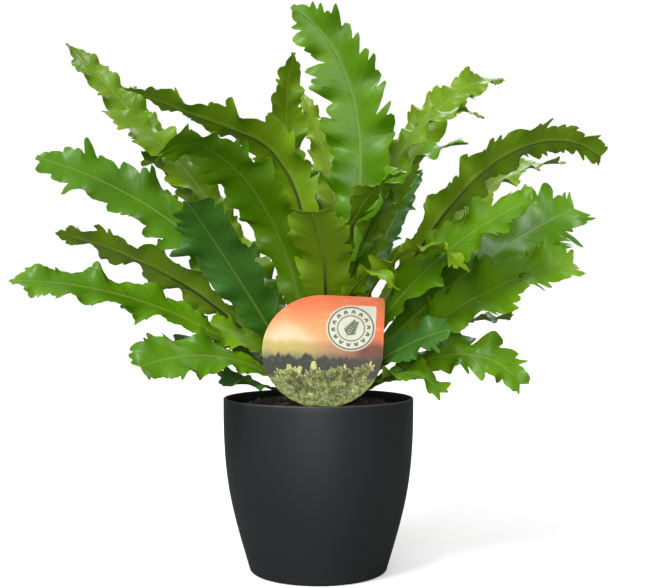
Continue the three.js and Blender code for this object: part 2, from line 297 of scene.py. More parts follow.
frondHabits = {
    "tall_frond": {"habit": "broad", "depth": 0.24, "tipDepth": 0.42, "tears": 0.4, "tint": 0.35},
    "hooked_frond": {"habit": "broad", "fullness": 0.92, "tint": 0.6},
    "narrow_frond": {"habit": "strap"},
    "front_frond_1": {"habit": "broad", "tint": 0.55},
    "front_frond_2": {"habit": "crested"},
    "left_frond_1": {"habit": "strap", "fullness": 0.88, "tint": 0.1},
    "left_frond_2": {"habit": "plain", "tint": 0.3},
    "left_frond_3": {"habit": "broad", "tipDepth": 0.42, "tint": 0.0},
    "left_frond_4": {"habit": "blunt", "turned": True, "tint": 0.45},
    "left_frond_5": {"habit": "broad", "turned": True, "tint": 0.5},
    "left_frond_7": {"habit": "fine", "fullness": 1.18, "tint": 0.4},
    "left_frond_9": {"habit": "blunt", "tint": 0.35},
    "right_frond_1": {"habit": "strap", "tint": 0.3},
    "right_frond_2": {"habit": "strap"},
    "right_frond_6": {"habit": "fringed", "tint": 0.6},
    "right_frond_7": {"habit": "strap"},
    "right_frond_8": {"habit": "fringed", "fullness": 1.3, "tint": 0.2},
    "right_frond_9": {"habit": "fringed", "fullness": 1.15, "tint": 0.4},
    "right_frond_10": {"habit": "fringed", "fullness": 1.15, "tint": 0.6},
    "right_frond_11": {"habit": "crested"},
    "right_frond_13": {"habit": "crested", "tint": 0.6},
    "right_frond_14": {"habit": "crested"},
}
bladeDetail = {
    "rowStep": 1.1,  # millimetres between rows of faces
    "sideColumns": 8,
    "thickness": 0.5,
    "ribRadius": (1.6, 0.3),  # base, tip
    "ribKeel": (1.5, 0.25),
    "ribRise": (0.25, 0.1),
    "veinSlope": 0.78,  # how far a vein runs towards the tip for each millimetre outwards
    "channel": 0.14,  # how steeply each half rises from the midrib
    "swellLength": (38, 60),  # slow changes of width along an edge, in millimetres
    "toothLength": (3.2, 4.8),
    "fineWave": (7, 0.4),  # length and height, in millimetres
    "crumple": (13, 22, 2.4),  # length along, length across and height, in millimetres
}

crownLow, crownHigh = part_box("crown")
crownCentre = Vector((0, 0, crownHigh.z - (crownHigh.x - crownLow.x) / 2))


# Small crumples between the veins, in millimetres.
def pucker(travelled, across, seed):
    long, wide, height = bladeDetail["crumple"]
    places = [Vector((t / long, a / wide, seed * 3.7)) for t, a in zip(travelled, across)]
    return height * np.array([noise.noise(place) for place in places])


# The CAD blade is rings of four points. Returns its midrib points, sides, upper normals and
# half widths.
def readSkeleton(node):
    shell = bmesh.new()
    shell.from_mesh(node.data)
    bmesh.ops.remove_doubles(shell, verts=shell.verts, dist=0.01 * mm)
    ring = [min(shell.verts, key=lambda v: (v.co - crownCentre).length)]
    seen = set(ring)
    rings = []
    while ring:
        ring = list({e.other_vert(v) for v in ring for e in v.link_edges} - seen)
        seen.update(ring)
        rings.append([v.co.copy() for v in ring])
    tip = rings[-2][0]
    points, sides, normals, widths = [], [], [], []
    for corners in rings[:-2]:
        pairs = [(a, b) for i, a in enumerate(corners) for b in corners[i + 1:]]
        left, right = max(pairs, key=lambda pair: (pair[0] - pair[1]).length)
        middle = (left + right) / 2
        others = [c for c in corners if c is not left and c is not right]
        keel, ridge = sorted(others, key=lambda c: -(c - middle).length)
        points.append(ridge)
        normals.append((ridge - keel).normalized())
        sides.append((left - right).normalized())
        widths.append((left - right).length / 2)
    points.append(tip)
    normals.append(normals[-1])
    sides.append(sides[-1])
    widths.append(0)
    shell.free()
    for i, normal in enumerate(normals):
        ahead = points[min(i + 1, len(points) - 1)] - points[max(i - 1, 0)]
        if normal.cross(ahead).dot(sides[i]) < 0:
            sides[i] = -sides[i]
    return [np.array(values) for values in (points, sides, normals, widths)]


# Cubic interpolation through evenly spaced stations, running on straight past the last one.
def alongCurve(stations, shares):
    last = len(stations) - 1
    place = np.clip(shares, 0, 1) * last
    index = np.minimum(place.astype(int), last - 1)
    part = (place - index)[..., None]
    before, start = stations[np.maximum(index - 1, 0)], stations[index]
    end, after = stations[index + 1], stations[np.minimum(index + 2, last)]
    bent = 0.5 * (
        2 * start
        + (end - before) * part
        + (2 * before - 5 * start + 4 * end - after) * part**2
        + (3 * start - before - 3 * end + after) * part**3
    )
    past = np.maximum(shares - 1, 0)[..., None] * last
    return bent + (stations[-1] - stations[-2]) * past


def softened(values):
    return np.convolve(np.pad(values, 1, mode="edge"), (0.22, 0.56, 0.22), "valid")


# One edge's outline. For each row: the share of the half width that the blade reaches, how its
# lobe is twisted, and how far the lobe stands up or hangs.
def edgeOutline(length, rows, habit, draw):
    reach = np.ones(rows + 1)
    twist, lift = np.zeros((2, rows + 1))
    along = np.linspace(0, length, rows + 1)
    start = 0.0
    while start < length:
        size = habit["lobe"] * draw.uniform(0.5, 1.65)
        share = start / length
        depth = np.interp(share, (0, 0.2, 0.45, 1), (0.2, 0.7, 1, 1)) * habit["depth"]
        depth = depth + (habit["tipDepth"] - habit["depth"]) * smoothStep(0.5, 0.95, share)
        depth = depth * draw.uniform(0.35, 1.45)
        if draw.random() < habit["tears"]:
            depth = min(0.7, depth + draw.uniform(0.12, 0.3))
        skew = draw.uniform(0.75, 1.6)
        tall = draw.uniform(0.82, 1.14)
        lean, stand = draw.uniform(-1, 1), draw.uniform(-1, 1)
        teeth = max(1, round(size / draw.uniform(*bladeDetail["toothLength"])))
        inside = (along >= start) & (along < start + size)
        q = (along[inside] - start) / size
        lobe = np.sin(math.pi * q**skew) ** draw.uniform(0.25, 0.5)
        tooth = 1 - np.abs(np.sin(math.pi * q * teeth)) ** 0.7
        toothDepth = 1.3 * draw.uniform(0.5, 1.3) / max(8, habit["lobe"] * 2)
        reach[inside] = (1 - depth * (1 - lobe)) * (1 + (tall - 1) * lobe)
        reach[inside] *= 1 - toothDepth * tooth
        twist[inside] = lean * (q - 0.5)
        lift[inside] = stand * lobe
        start += size
    reach, twist, lift = softened(reach), softened(twist), softened(lift)
    swell = draw.uniform(*bladeDetail["swellLength"])
    phase = draw.uniform(0, 6.28)
    slow = 0.09 * np.sin(6.283 * along / swell + phase)
    reach *= 1 + slow + 0.05 * np.sin(14.1 * along / swell + 2 * phase)
    return reach, twist, lift


def buildFrond(name, slotName, seed):
    draw = random.Random(seed)
    own = frondHabits.get(name, {"habit": "plain"})
    habit = {**plainHabit, **habits[own["habit"]], **own}
    points, sides, normals, widths = readSkeleton(frame["nodes"][name])
    if habit["turned"]:
        sides, normals = -sides, -normals
    length = sum(np.linalg.norm(b - a) for a, b in zip(points, points[1:])) / mm
    rows = max(24, round(length / bladeDetail["rowStep"]))
    columns = 2 * bladeDetail["sideColumns"]
    shares = np.linspace(0, 1, rows + 1)
    smoothed = np.convolve(np.pad(widths, 1, mode="edge"), (0.25, 0.5, 0.25), "valid")
    smoothed[0], smoothed[-1] = widths[0], 0
    halfWidth = alongCurve(smoothed[:, None], shares)[:, 0] / mm * habit["fullness"]
    # the tip is widened, then rounded off
    tipWidth = habit["tipWidth"] * halfWidth.max()
    fromTip = np.clip((1 - shares) * length / (0.9 * tipWidth), 0, 1)
    tipRound = np.sqrt(fromTip * (2 - fromTip))
    halfWidth = np.maximum(halfWidth, tipWidth * smoothStep(0.6, 0.9, shares) * tipRound)
    ribRadius = np.minimum(np.interp(shares, (0, 1), bladeDetail["ribRadius"]), halfWidth * 0.6)
    left = edgeOutline(length, rows, habit, draw)
    right = edgeOutline(length, rows, habit, draw)
    phases = [draw.uniform(0, 6.28) for i in range(6)]
    waveLength = habit["wave"] * draw.uniform(0.85, 1.15)
    tint = draw.random()
    tint = tint if habit["tint"] is None else habit["tint"]
    fineLength, fineHeight = bladeDetail["fineWave"]

    # the surface at every row and column
    surface, upward = np.zeros((2, rows + 1, columns + 1, 3))
    masks = {}
    for column in range(columns + 1):
        k = column - bladeDetail["sideColumns"]
        side = 1 if k > 0 else -1
        reach, twist, stand = left if side > 0 else right
        outer = halfWidth * reach
        step = abs(k)
        inner = ribRadius * (0, 0.7, 1.3)[min(step, 2)]
        share = max(0, (step - 2) / (bladeDetail["sideColumns"] - 2)) ** 0.95
        across = inner + (outer - inner) * share
        part = across / np.maximum(halfWidth, 0.01)
        remaining = (1 - shares) * length
        room = np.minimum(halfWidth, 0.8 * remaining + habit["fringe"] * halfWidth)
        shift = bladeDetail["veinSlope"] * part * room
        shift = shift + habit["fringe"] * part * halfWidth * smoothStep(0.8, 1, shares) * 0.6
        place = shares + shift / length
        centre = alongCurve(points, place)
        sideways = alongCurve(sides, np.minimum(place, 1))
        up = alongCurve(normals, np.minimum(place, 1))
        onePhase, otherPhase, finePhase = phases[:3] if side > 0 else phases[3:]
        travelled = place * length
        waves = np.sin(6.283 * travelled / waveLength + onePhase)
        waves = waves + 0.45 * np.sin(6.283 * travelled / (waveLength * 0.53) + otherPhase)
        amplitude = habit["ruffle"] * halfWidth * smoothStep(0.05, 0.35, shares)
        lift = bladeDetail["channel"] * across + amplitude * waves * part**1.7
        lift = lift + (twist * 3 + stand * 1.5) * part**2.5 * smoothStep(0.1, 0.3, shares)
        lift = lift + fineHeight * np.sin(6.283 * travelled / fineLength + finePhase) * part**2
        lift = lift + pucker(travelled, across * side, seed) * part
        fromMidrib = sideways * (across * side)[:, None] + up * lift[:, None]
        surface[:, column] = centre + fromMidrib * mm
        upward[:, column] = up
        masks[column] = (across / ribRadius, np.minimum(1, part))
    # the surface's own normals, all on the upper side
    outward = np.cross(np.gradient(surface, axis=0), np.gradient(surface, axis=1))
    outward /= np.maximum(np.linalg.norm(outward, axis=2, keepdims=True), 1e-12)
    outward *= math.copysign(1, (outward * upward).sum())

    # a grid and its copy become the under and upper faces
    shape = bmesh.new()
    bmesh.ops.create_grid(shape, x_segments=columns, y_segments=rows, size=0.5)
    layerNames = ("upper", "along", "edge", "ribDistance", "veinPlace", "tint")
    layers = {layer: shape.verts.layers.float.new(layer) for layer in layerNames}
    rowLayer = shape.verts.layers.int.new("row")
    columnLayer = shape.verts.layers.int.new("column")
    for v in shape.verts:
        v[rowLayer] = round((v.co.y + 0.5) * rows)
        v[columnLayer] = round((v.co.x + 0.5) * columns)
    grown = bmesh.ops.extrude_face_region(shape, geom=shape.faces[:], use_keep_orig=True)
    for v in grown["geom"]:
        if isinstance(v, bmesh.types.BMVert):
            v[layers["upper"]] = 1
    half = bladeDetail["thickness"] / 2
    keelDepth = np.interp(shares, (0, 1), bladeDetail["ribKeel"])
    rise = np.interp(shares, (0, 1), bladeDetail["ribRise"])
    for v in shape.verts:
        row, column = v[rowLayer], v[columnLayer]
        ribDistance, part = masks[column]
        onTop = v[layers["upper"]] > 0.5
        hump = math.sqrt(max(0, 1 - min(1, ribDistance[row] / 1.3) ** 2))
        thin = half * (1 - 0.55 * part[row] ** 2)
        offset = thin + rise[row] * hump if onTop else -thin - keelDepth[row] * hump
        v.co = Vector(surface[row, column] + outward[row, column] * offset * mm)
        v[layers["along"]] = shares[row]
        v[layers["edge"]] = part[row]
        v[layers["ribDistance"]] = ribDistance[row]
        v[layers["veinPlace"]] = shares[row] * length
        v[layers["tint"]] = tint
    bmesh.ops.recalc_face_normals(shape, faces=shape.faces[:])
    if shape.calc_volume(signed=True) < 0:
        bmesh.ops.reverse_faces(shape, faces=shape.faces[:])
    return makePiece(name + "_blade", shape, [leafMaterials[slotName]], (name,), 55)


slotOf = {entry["node"]: entry["material_slot"] for entry in frame["record"]["subparts"]}
frondNames = [node for node, slotName in slotOf.items() if slotName in leafTones]
for seed, name in enumerate(frondNames):
    buildFrond(name, slotOf[name], 100 + seed)
print("fronds made:", len(frondNames))


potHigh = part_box("cover_pot")[1]
pot = {
    "rim": potHigh.x,
    "height": potHigh.z,
    "wall": 2.2 * mm,
    "foot": 48 * mm,
    "footRounding": 3 * mm,
    "footFlare": math.radians(17),
    "sideSteps": 40,
    "turns": 160,
    "colour": (0.0155, 0.0185, 0.019),
    # painted highlight: a lighter top edge on the rim
    "rimHighlight": (0.06, 0.066, 0.068),
}


# Turns an outline of (radius, height) points about Z into a closed skin.
def turned(outline, turns):
    shape = bmesh.new()
    verts = [shape.verts.new((radius, 0, height)) for radius, height in outline]
    edges = [shape.edges.new(pair) for pair in zip(verts, verts[1:])]
    bmesh.ops.spin(
        shape, geom=verts + edges, axis=(0, 0, 1), cent=(0, 0, 0), steps=turns, angle=math.tau,
        use_merge=True,
    )
    bmesh.ops.remove_doubles(shape, verts=shape.verts, dist=1e-6)
    bmesh.ops.recalc_face_normals(shape, faces=shape.faces[:])
    return shape


def potOutline():
    start = Vector((pot["foot"] + pot["footRounding"], pot["footRounding"]))
    end = Vector((pot["rim"], pot["height"] - pot["wall"] / 2))
    pull = pot["height"] * 0.42
    low = start + pull * Vector((math.sin(pot["footFlare"]), math.cos(pot["footFlare"])))
    high = end - Vector((0, pull))
    side = []
    for i in range(pot["sideSteps"] + 1):
        t = i / pot["sideSteps"]
        u = 1 - t
        point = u**3 * start + 3 * u**2 * t * low + 3 * u * t**2 * high + t**3 * end
        side.append((point.x, point.y))
    foot = [(0, 0), (pot["foot"] * 0.94, 0)]
    for i in range(1, 7):  # rounded foot
        angle = math.radians(-90 + 15 * i)
        out, up = math.cos(angle), 1 + math.sin(angle)
        foot.append((pot["foot"] + pot["footRounding"] * out, pot["footRounding"] * up))
    lip = []
    radius = pot["wall"] / 2
    for i in range(1, 8):  # rounded rim
        angle = math.radians(22.5 * i)
        lip.append((end.x - radius + radius * math.cos(angle), end.y + radius * math.sin(angle)))
    inside = [(r - pot["wall"], z) for r, z in reversed(side) if z > 5 * mm]
    return foot + side[1:] + lip + inside + [(pot["foot"] - 2 * mm, 3 * mm), (0, 3 * mm)]


def potMaterial():
    g = newMaterial("potPlastic")
    cloud = g.noise(g.place(14), 1.0, 3)
    grain = g.noise(g.place(900), 1.0, 2)
    height = g.node("ShaderNodeSeparateXYZ", {}, {0: g.place()}, 2)
    colour = g.mix(cloud * 0.5, pot["colour"], tuple(c * 1.25 for c in pot["colour"]))
    # painted highlight: the rim's top is made lighter
    rimHighlightShare = height.ramp(pot["height"] - 1.4 * mm, pot["height"] - 0.2 * mm) * 0.6
    colour = g.mix(rimHighlightShare, colour, pot["rimHighlight"])
    return g.finish(
        Base_Color=colour,
        Roughness=0.5 + (cloud - 0.5) * 0.1,
        Normal=g.bump(grain, 0.12, 0.05 * mm),
        Specular_IOR_Level=0.34,
    )


potShape = turned(potOutline(), pot["turns"])
makePiece("pot_shell", potShape, [potMaterial()], ("cover_pot",), 60)
print("cover pot made")


soilLow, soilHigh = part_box("soil")
bed = {
    "grains": 900,
    "grainSize": (0.5, 2.1),  # millimetres
    "rings": 22,
    "turns": 72,
    "lump": 1.1 * mm,
    "colour": (0.022, 0.013, 0.008),
    "crumb": (0.05, 0.03, 0.018),
    "fibre": (0.11, 0.07, 0.04),
    "film": ((0.012, 0.012, 0.012), (0.03, 0.028, 0.026)),  # the nursery pot's plastic
}


def soilMaterial():
    g = newMaterial("peatMix")
    crumbs = g.noise(g.place(420), 1.0, 4, 0.65)
    patches = g.noise(g.place(60), 1.0, 3)
    fibre = g.noise(g.place((1400, 260, 500)), 1.0, 2)
    colour = g.mix((crumbs + patches - 0.5).ramp(0.35, 0.85), bed["colour"], bed["crumb"])
    colour = g.mix(fibre.ramp(0.68, 0.78) * 0.6, colour, bed["fibre"])
    return g.finish(
        Base_Color=colour,
        Roughness=0.82 + (crumbs - 0.5) * 0.2,
        Normal=g.bump(crumbs, 0.9, 0.6 * mm),
    )


def nurseryMaterial():
    g = newMaterial("nurseryPlastic")
    film = g.noise(g.place(70), 1.0, 3)
    colour = g.mix(film, *bed["film"])
    relief = g.bump(film, 0.2, 0.2 * mm)
    return g.finish(Base_Color=colour, Roughness=0.42 + film * 0.2, Normal=relief)


peat = soilMaterial()
frame["nodes"]["nursery_pot"].material_slots[0].material = nurseryMaterial()


# The soil's height at a distance from the middle, before its lumps.
def soilHeight(radius):
    edge = soilHigh.x
    drop = np.interp(radius, (0.42 * edge, 0.85 * edge, edge), (0, 2.5 * mm, 6 * mm))
    return soilHigh.z - float(drop)


def buildSoil():
    edge = soilHigh.x
    outline = [(0, soilLow.z), (edge * 0.76, soilLow.z), (edge, soilHigh.z - 7 * mm)]
    for i in range(bed["rings"] + 1):
        radius = edge * (1 - i / bed["rings"])
        outline.append((radius, soilHeight(radius)))
    shape = turned(outline, bed["turns"])
    for v in shape.verts:
        if v.co.z > soilHigh.z - 6.5 * mm:
            lump = noise.noise(v.co * 130) + 0.5 * noise.noise(v.co * 420)
            v.co.z += bed["lump"] * lump
    return makePiece("soil_bed", shape, [peat], ("soil",), 180)


# Loose grains, chips and fibres on top.
def buildGrains():
    draw = random.Random(7)
    shape = bmesh.new()
    for i in range(bed["grains"]):
        radius = soilHigh.x * math.sqrt(draw.uniform(0.2, 0.97))
        angle = draw.uniform(0, math.tau)
        size = draw.uniform(*bed["grainSize"]) * mm * draw.uniform(0.5, 1)
        long = draw.choice((1, 1, 1.4, 2.6))
        stretch = Matrix.Diagonal((long, draw.uniform(0.6, 1), draw.uniform(0.4, 0.8), 1))
        turn = Euler([draw.uniform(-0.5, 0.5), draw.uniform(-0.5, 0.5), draw.uniform(0, 6.3)])
        height = soilHeight(radius) + size * 0.25
        spot = Matrix.Translation((radius * math.cos(angle), radius * math.sin(angle), height))
        made = bmesh.ops.create_icosphere(
            shape, subdivisions=1, radius=size, matrix=spot @ turn.to_matrix().to_4x4() @ stretch
        )
        for v in made["verts"]:
            v.co += Vector([draw.uniform(-0.22, 0.22) * size for axis in range(3)])
    return makePiece("soil_grains", shape, [peat], (), 25)


buildSoil()
buildGrains()
print("soil made")


crown = {
    "radius": (crownHigh.x - crownLow.x) / 2,
    "scales": 170,
    "scaleLength": (3.5, 8),  # millimetres
    "scaleWidth": (0.8, 1.6),
    "brown": (0.07, 0.035, 0.014),
    "green": (0.2, 0.24, 0.06),
}


def crownMaterial():
    g = newMaterial("rootStock")
    fuzz = g.noise(g.place((700, 700, 180)), 1.0, 3)
    tufts = g.noise(g.place(90), 1.0, 2)
    colour = g.mix((fuzz * 0.7 + tufts * 0.5).ramp(0.4, 0.9), crown["brown"], crown["green"])
    return g.finish(Base_Color=colour, Roughness=0.75, Normal=g.bump(fuzz, 0.8, 0.5 * mm))


def buildCrown():
    draw = random.Random(11)
    shape = bmesh.new()
    bmesh.ops.create_icosphere(shape, subdivisions=4, radius=crown["radius"] * 0.97)
    for v in shape.verts:
        rough = noise.noise(v.co * 190) * 1.2 * mm + noise.noise(v.co * 60) * 1.0 * mm
        v.co += v.co.normalized() * rough
    # papery scales stand between the stalks
    for i in range(crown["scales"]):
        lean = math.radians(draw.uniform(5, 68))
        turn = draw.uniform(0, math.tau)
        across, up = math.sin(lean), math.cos(lean)
        outward = Vector((across * math.cos(turn), across * math.sin(turn), up))
        size = draw.uniform(*crown["scaleLength"]) * mm
        width = draw.uniform(*crown["scaleWidth"]) * mm
        aim = outward.to_track_quat("Z", "X").to_matrix().to_4x4()
        tilt = Matrix.Rotation(draw.uniform(-0.45, 0.45), 4, "X")
        tilt = tilt @ Matrix.Rotation(draw.uniform(0, 6.3), 4, "Z")
        spot = Matrix.Translation(outward * crown["radius"] * 0.95)
        squeeze = Matrix.Diagonal((1, 0.25, 1, 1))
        bmesh.ops.create_cone(
            shape, cap_ends=True, segments=6, radius1=width, radius2=width * 0.06, depth=size,
            matrix=spot @ aim @ tilt @ squeeze @ Matrix.Translation((0, 0, size * 0.4)),
        )
    shape.transform(Matrix.Translation(crownCentre))
    return makePiece("crown_stock", shape, [crownMaterial()], ("crown",), 60)


buildCrown()
print("crown made")


label = {
    "radius": 42.5 * mm,
    "squash": 0.93,  # the card is a little wider than tall
    "stakeLength": 46.7 * mm,
    "stakeWidth": 14 * mm,
    "corner": 1.5 * mm,
    "thickness": 0.8 * mm,
    "backTilt": 4,
    "turn": 2.5,
    "badgeCentre": (19.3 * mm, 18.2 * mm),
    "badgeRadius": 17.3 * mm,
    "badgeRings": ((16.4 * mm, 1.1 * mm), (9.9 * mm, 0.8 * mm)),  # radius, stroke
    "badgeMarks": 28,
    "markRadius": 10.9 * mm,
    "paper": (0.66, 0.64, 0.52),
    "ink": (0.085, 0.14, 0.03),
    "printedLeaves": 460,
    "tallLeaves": (  # foot in millimetres, angle, length in millimetres
        ((-22, -21), -0.12, 11),
        ((-20, -22), 0.5, 12),
        ((-6, -19), 0.02, 12),
        ((-7, -20), 0.42, 7),
    ),
    "leafInks": {
        "leafInk": ((0.3, 0.34, 0.06), (0.2, 0.24, 0.05)),
        "paleInk": ((0.55, 0.58, 0.14), (0.4, 0.46, 0.1)),
        "darkInk": ((0.1, 0.13, 0.03), (0.06, 0.08, 0.02)),
    },
}
upright = Matrix.Rotation(math.radians(90), 4, "X")
cadPoints = frame["nodes"]["plant_label"].data.vertices
labelTip = min((v.co.copy() for v in cadPoints), key=lambda co: co.z)
labelTurn = Matrix.Rotation(math.radians(-label["backTilt"]), 4, "X")
labelTurn = labelTurn @ Matrix.Rotation(math.radians(label["turn"]), 4, "Y")
labelTurn = labelTurn @ Matrix.Diagonal((1, 1, label["squash"], 1))
tipPlace = Vector((0, label["thickness"] / 2, -label["radius"] - label["stakeLength"]))
labelPlace = Matrix.Translation(labelTip - labelTurn @ tipPlace) @ labelTurn


# Colours of the evening landscape on the card. Pairs run upwards in the sky, from left to right
# in the haze, hills and trees, and from dark to light in the meadow.
landscape = {
    "sky": ((0.8, 0.36, 0.13), (0.78, 0.14, 0.025)),
    "rightSky": (0.76, 0.14, 0.03),
    "streak": (0.84, 0.42, 0.18),
    "glow": (0.9, 0.68, 0.42),
    "haze": ((0.52, 0.42, 0.1), (0.42, 0.2, 0.11)),
    "rightHaze": (0.16, 0.04, 0.018),
    "hills": ((0.18, 0.19, 0.09), (0.13, 0.05, 0.03)),
    "trees": ((0.018, 0.022, 0.012), (0.045, 0.032, 0.024)),
    "treeLight": (0.07, 0.09, 0.03),
    "meadow": ((0.06, 0.08, 0.02), (0.26, 0.3, 0.06)),
}


def printMaterial():
    g = newMaterial("labelPrint")
    x, height = g.attribute("printX"), g.attribute("printZ")  # -1 to 1 over the card
    where = g.point(x, height, 0.0)
    clouds = g.noise(where, 2.2, 4)
    streaks = g.noise(g.point(x, height * 4, 3.0), 2.0, 3)
    sky = g.mix((height + (streaks - 0.5) * 0.7).ramp(0.35, 0.95), *landscape["sky"])
    sky = g.mix((x + (streaks - 0.5)).ramp(0.3, 1.0), sky, landscape["rightSky"])
    sky = g.mix(streaks.ramp(0.5, 0.75) * 0.4, sky, landscape["streak"])
    glow = 0.8 - abs(x + 0.62) * 0.8 - abs(height - 0.2) * 1.5 + (clouds - 0.5) * 0.7
    sky = g.mix(glow.ramp(0.05, 0.85), sky, landscape["glow"])
    haze = g.mix((x + (clouds - 0.5) * 0.6).ramp(-0.5, 0.3), *landscape["haze"])
    haze = g.mix((x + (clouds - 0.5) * 0.4).ramp(0.3, 0.75), haze, landscape["rightHaze"])
    farEdge = 0.2 + (g.noise(g.point(x, 0.0, 7.0), 3.0, 3) - 0.5) * 0.3
    picture = g.mix((height - farEdge).ramp(-0.16, 0.08), haze, sky)
    hills = g.mix(x.ramp(-0.4, 0.5), *landscape["hills"])
    picture = g.mix((height - farEdge + 0.26).ramp(-0.12, 0.1), hills, picture)
    nearEdge = -0.1 + (g.noise(g.point(x, 1.0, 9.0), 6.0, 4, 0.65) - 0.5) * 0.55
    trees = g.mix(x.ramp(-0.2, 0.8), *landscape["trees"])
    treeLight = g.noise(where, 14.0, 3).ramp(0.5, 0.7) * 0.5
    trees = g.mix(treeLight, trees, landscape["treeLight"])
    picture = g.mix((height - nearEdge).ramp(-0.04, 0.03), trees, picture)
    meadow = g.mix(g.noise(where, 18.0, 3).ramp(0.35, 0.65), *landscape["meadow"])
    picture = g.mix((height + 0.48 + (clouds - 0.5) * 0.3).ramp(-0.04, 0.06), meadow, picture)
    shine = {"Specular_IOR_Level": 0.25, "Coat_Roughness": 0.2}
    return g.finish(Base_Color=picture, Roughness=0.42, Coat_Weight=0.05 + clouds * 0.05, **shine)


def inkMaterial(name, colour, other):
    g = newMaterial(name)
    grain = g.noise(g.place(260), 1.0, 2)
    shade = g.mix(grain.ramp(0.35, 0.65), colour, other)
    return g.finish(Base_Color=shade, Roughness=0.35 + grain * 0.1)


# A flat sheet, seen from the front, becomes a slab of a thickness in the card's own place.
def placeSlab(shape, thickness, front):
    grown = bmesh.ops.extrude_face_region(shape, geom=shape.faces[:], use_keep_orig=True)
    for v in grown["geom"]:
        if isinstance(v, bmesh.types.BMVert):
            v.co.y += thickness
    bmesh.ops.recalc_face_normals(shape, faces=shape.faces[:])
    shape.transform(labelPlace @ Matrix.Translation((0, front, 0)))


# A disc in the card's plane whose upper right quarter runs out to a square corner.
def cornered(shape, centre, radius, corner):
    made = bmesh.ops.create_circle(shape, cap_ends=True, segments=96, radius=radius, matrix=upright)
    for v in made["verts"]:
        x, z = v.co.x, v.co.z
        if x > 1e-6 and z > 1e-6:
            stretch = radius / max(x, z)
            v.co.x, v.co.z = x * stretch, z * stretch
            if v.co.x + v.co.z > 2 * radius - corner:
                cut = (v.co.x + v.co.z - 2 * radius + corner) / 2
                v.co.x, v.co.z = v.co.x - cut, v.co.z - cut
    bmesh.ops.translate(shape, verts=made["verts"], vec=(centre[0], 0, centre[1]))
    return made


def buildCard():
    shape = bmesh.new()
    cornered(shape, (0, 0), label["radius"], label["corner"])
    half = label["stakeWidth"] / 2
    stakeTop = -math.sqrt(label["radius"] ** 2 - half**2) + 1 * mm
    stakeFoot = -label["radius"] - label["stakeLength"]
    stake = bmesh.ops.create_grid(shape, x_segments=2, y_segments=1, size=1, matrix=upright)
    for v in stake["verts"]:
        low = v.co.z < 0
        edge = abs(v.co.x) > 0.5
        v.co.x *= half
        v.co.y = 0
        v.co.z = (stakeFoot + (label["stakeWidth"] if edge else 0)) if low else stakeTop
    placeSlab(shape, label["thickness"], -label["thickness"] / 2)
    across = shape.verts.layers.float.new("printX")
    up = shape.verts.layers.float.new("printZ")
    back = labelPlace.inverted()
    for v in shape.verts:
        spot = back @ v.co
        v[across], v[up] = spot.x / label["radius"], spot.z / label["radius"]
    return makePiece("label_card", shape, [printMaterial()], ("plant_label",), 30)


# One pointed leaf of six corners, in raised ink.
def addLeaf(shape, foot, angle, length, width, colour):
    turn = Matrix.Rotation(angle, 4, "Y")
    made = bmesh.ops.create_circle(shape, cap_ends=True, segments=6, radius=0.5, matrix=upright)
    for face in {face for v in made["verts"] for face in v.link_faces}:
        face.material_index = colour
    for v in made["verts"]:
        v.co = Vector((v.co.z * width, 0, (v.co.x + 0.5) * length))
        v.co = turn @ v.co + Vector((foot[0], 0, foot[1]))


def buildPrintedLeaves():
    draw = random.Random(23)
    shape = bmesh.new()
    radius = label["radius"]
    for i in range(label["printedLeaves"]):
        x = draw.uniform(-0.82, 0.88)
        z = draw.uniform(-0.9, -0.42 + 0.2 * max(0, x))
        size = draw.uniform(3, 7.5) * mm
        if math.hypot(x, z) > 0.96 - size / radius * 0.75:
            continue
        angle = draw.gauss(0, 0.75)
        colour = draw.choice((0, 0, 0, 1, 2))
        for side in (-1, 0, 1):  # a leaflet group
            tilt = angle + side * 0.6
            long = size * (1 if side == 0 else 0.7)
            wide = long * draw.uniform(0.2, 0.34)
            addLeaf(shape, (x * radius, z * radius), tilt, long, wide, colour)
    for (x, z), angle, size in label["tallLeaves"]:
        addLeaf(shape, (x * mm, z * mm), angle, size * mm, 5 * mm, 1)
    placeSlab(shape, 0.1 * mm, -label["thickness"] / 2 - 0.08 * mm)
    inks = [inkMaterial(name, *colours) for name, colours in label["leafInks"].items()]
    return makePiece("label_leaves", shape, inks, (), 30)


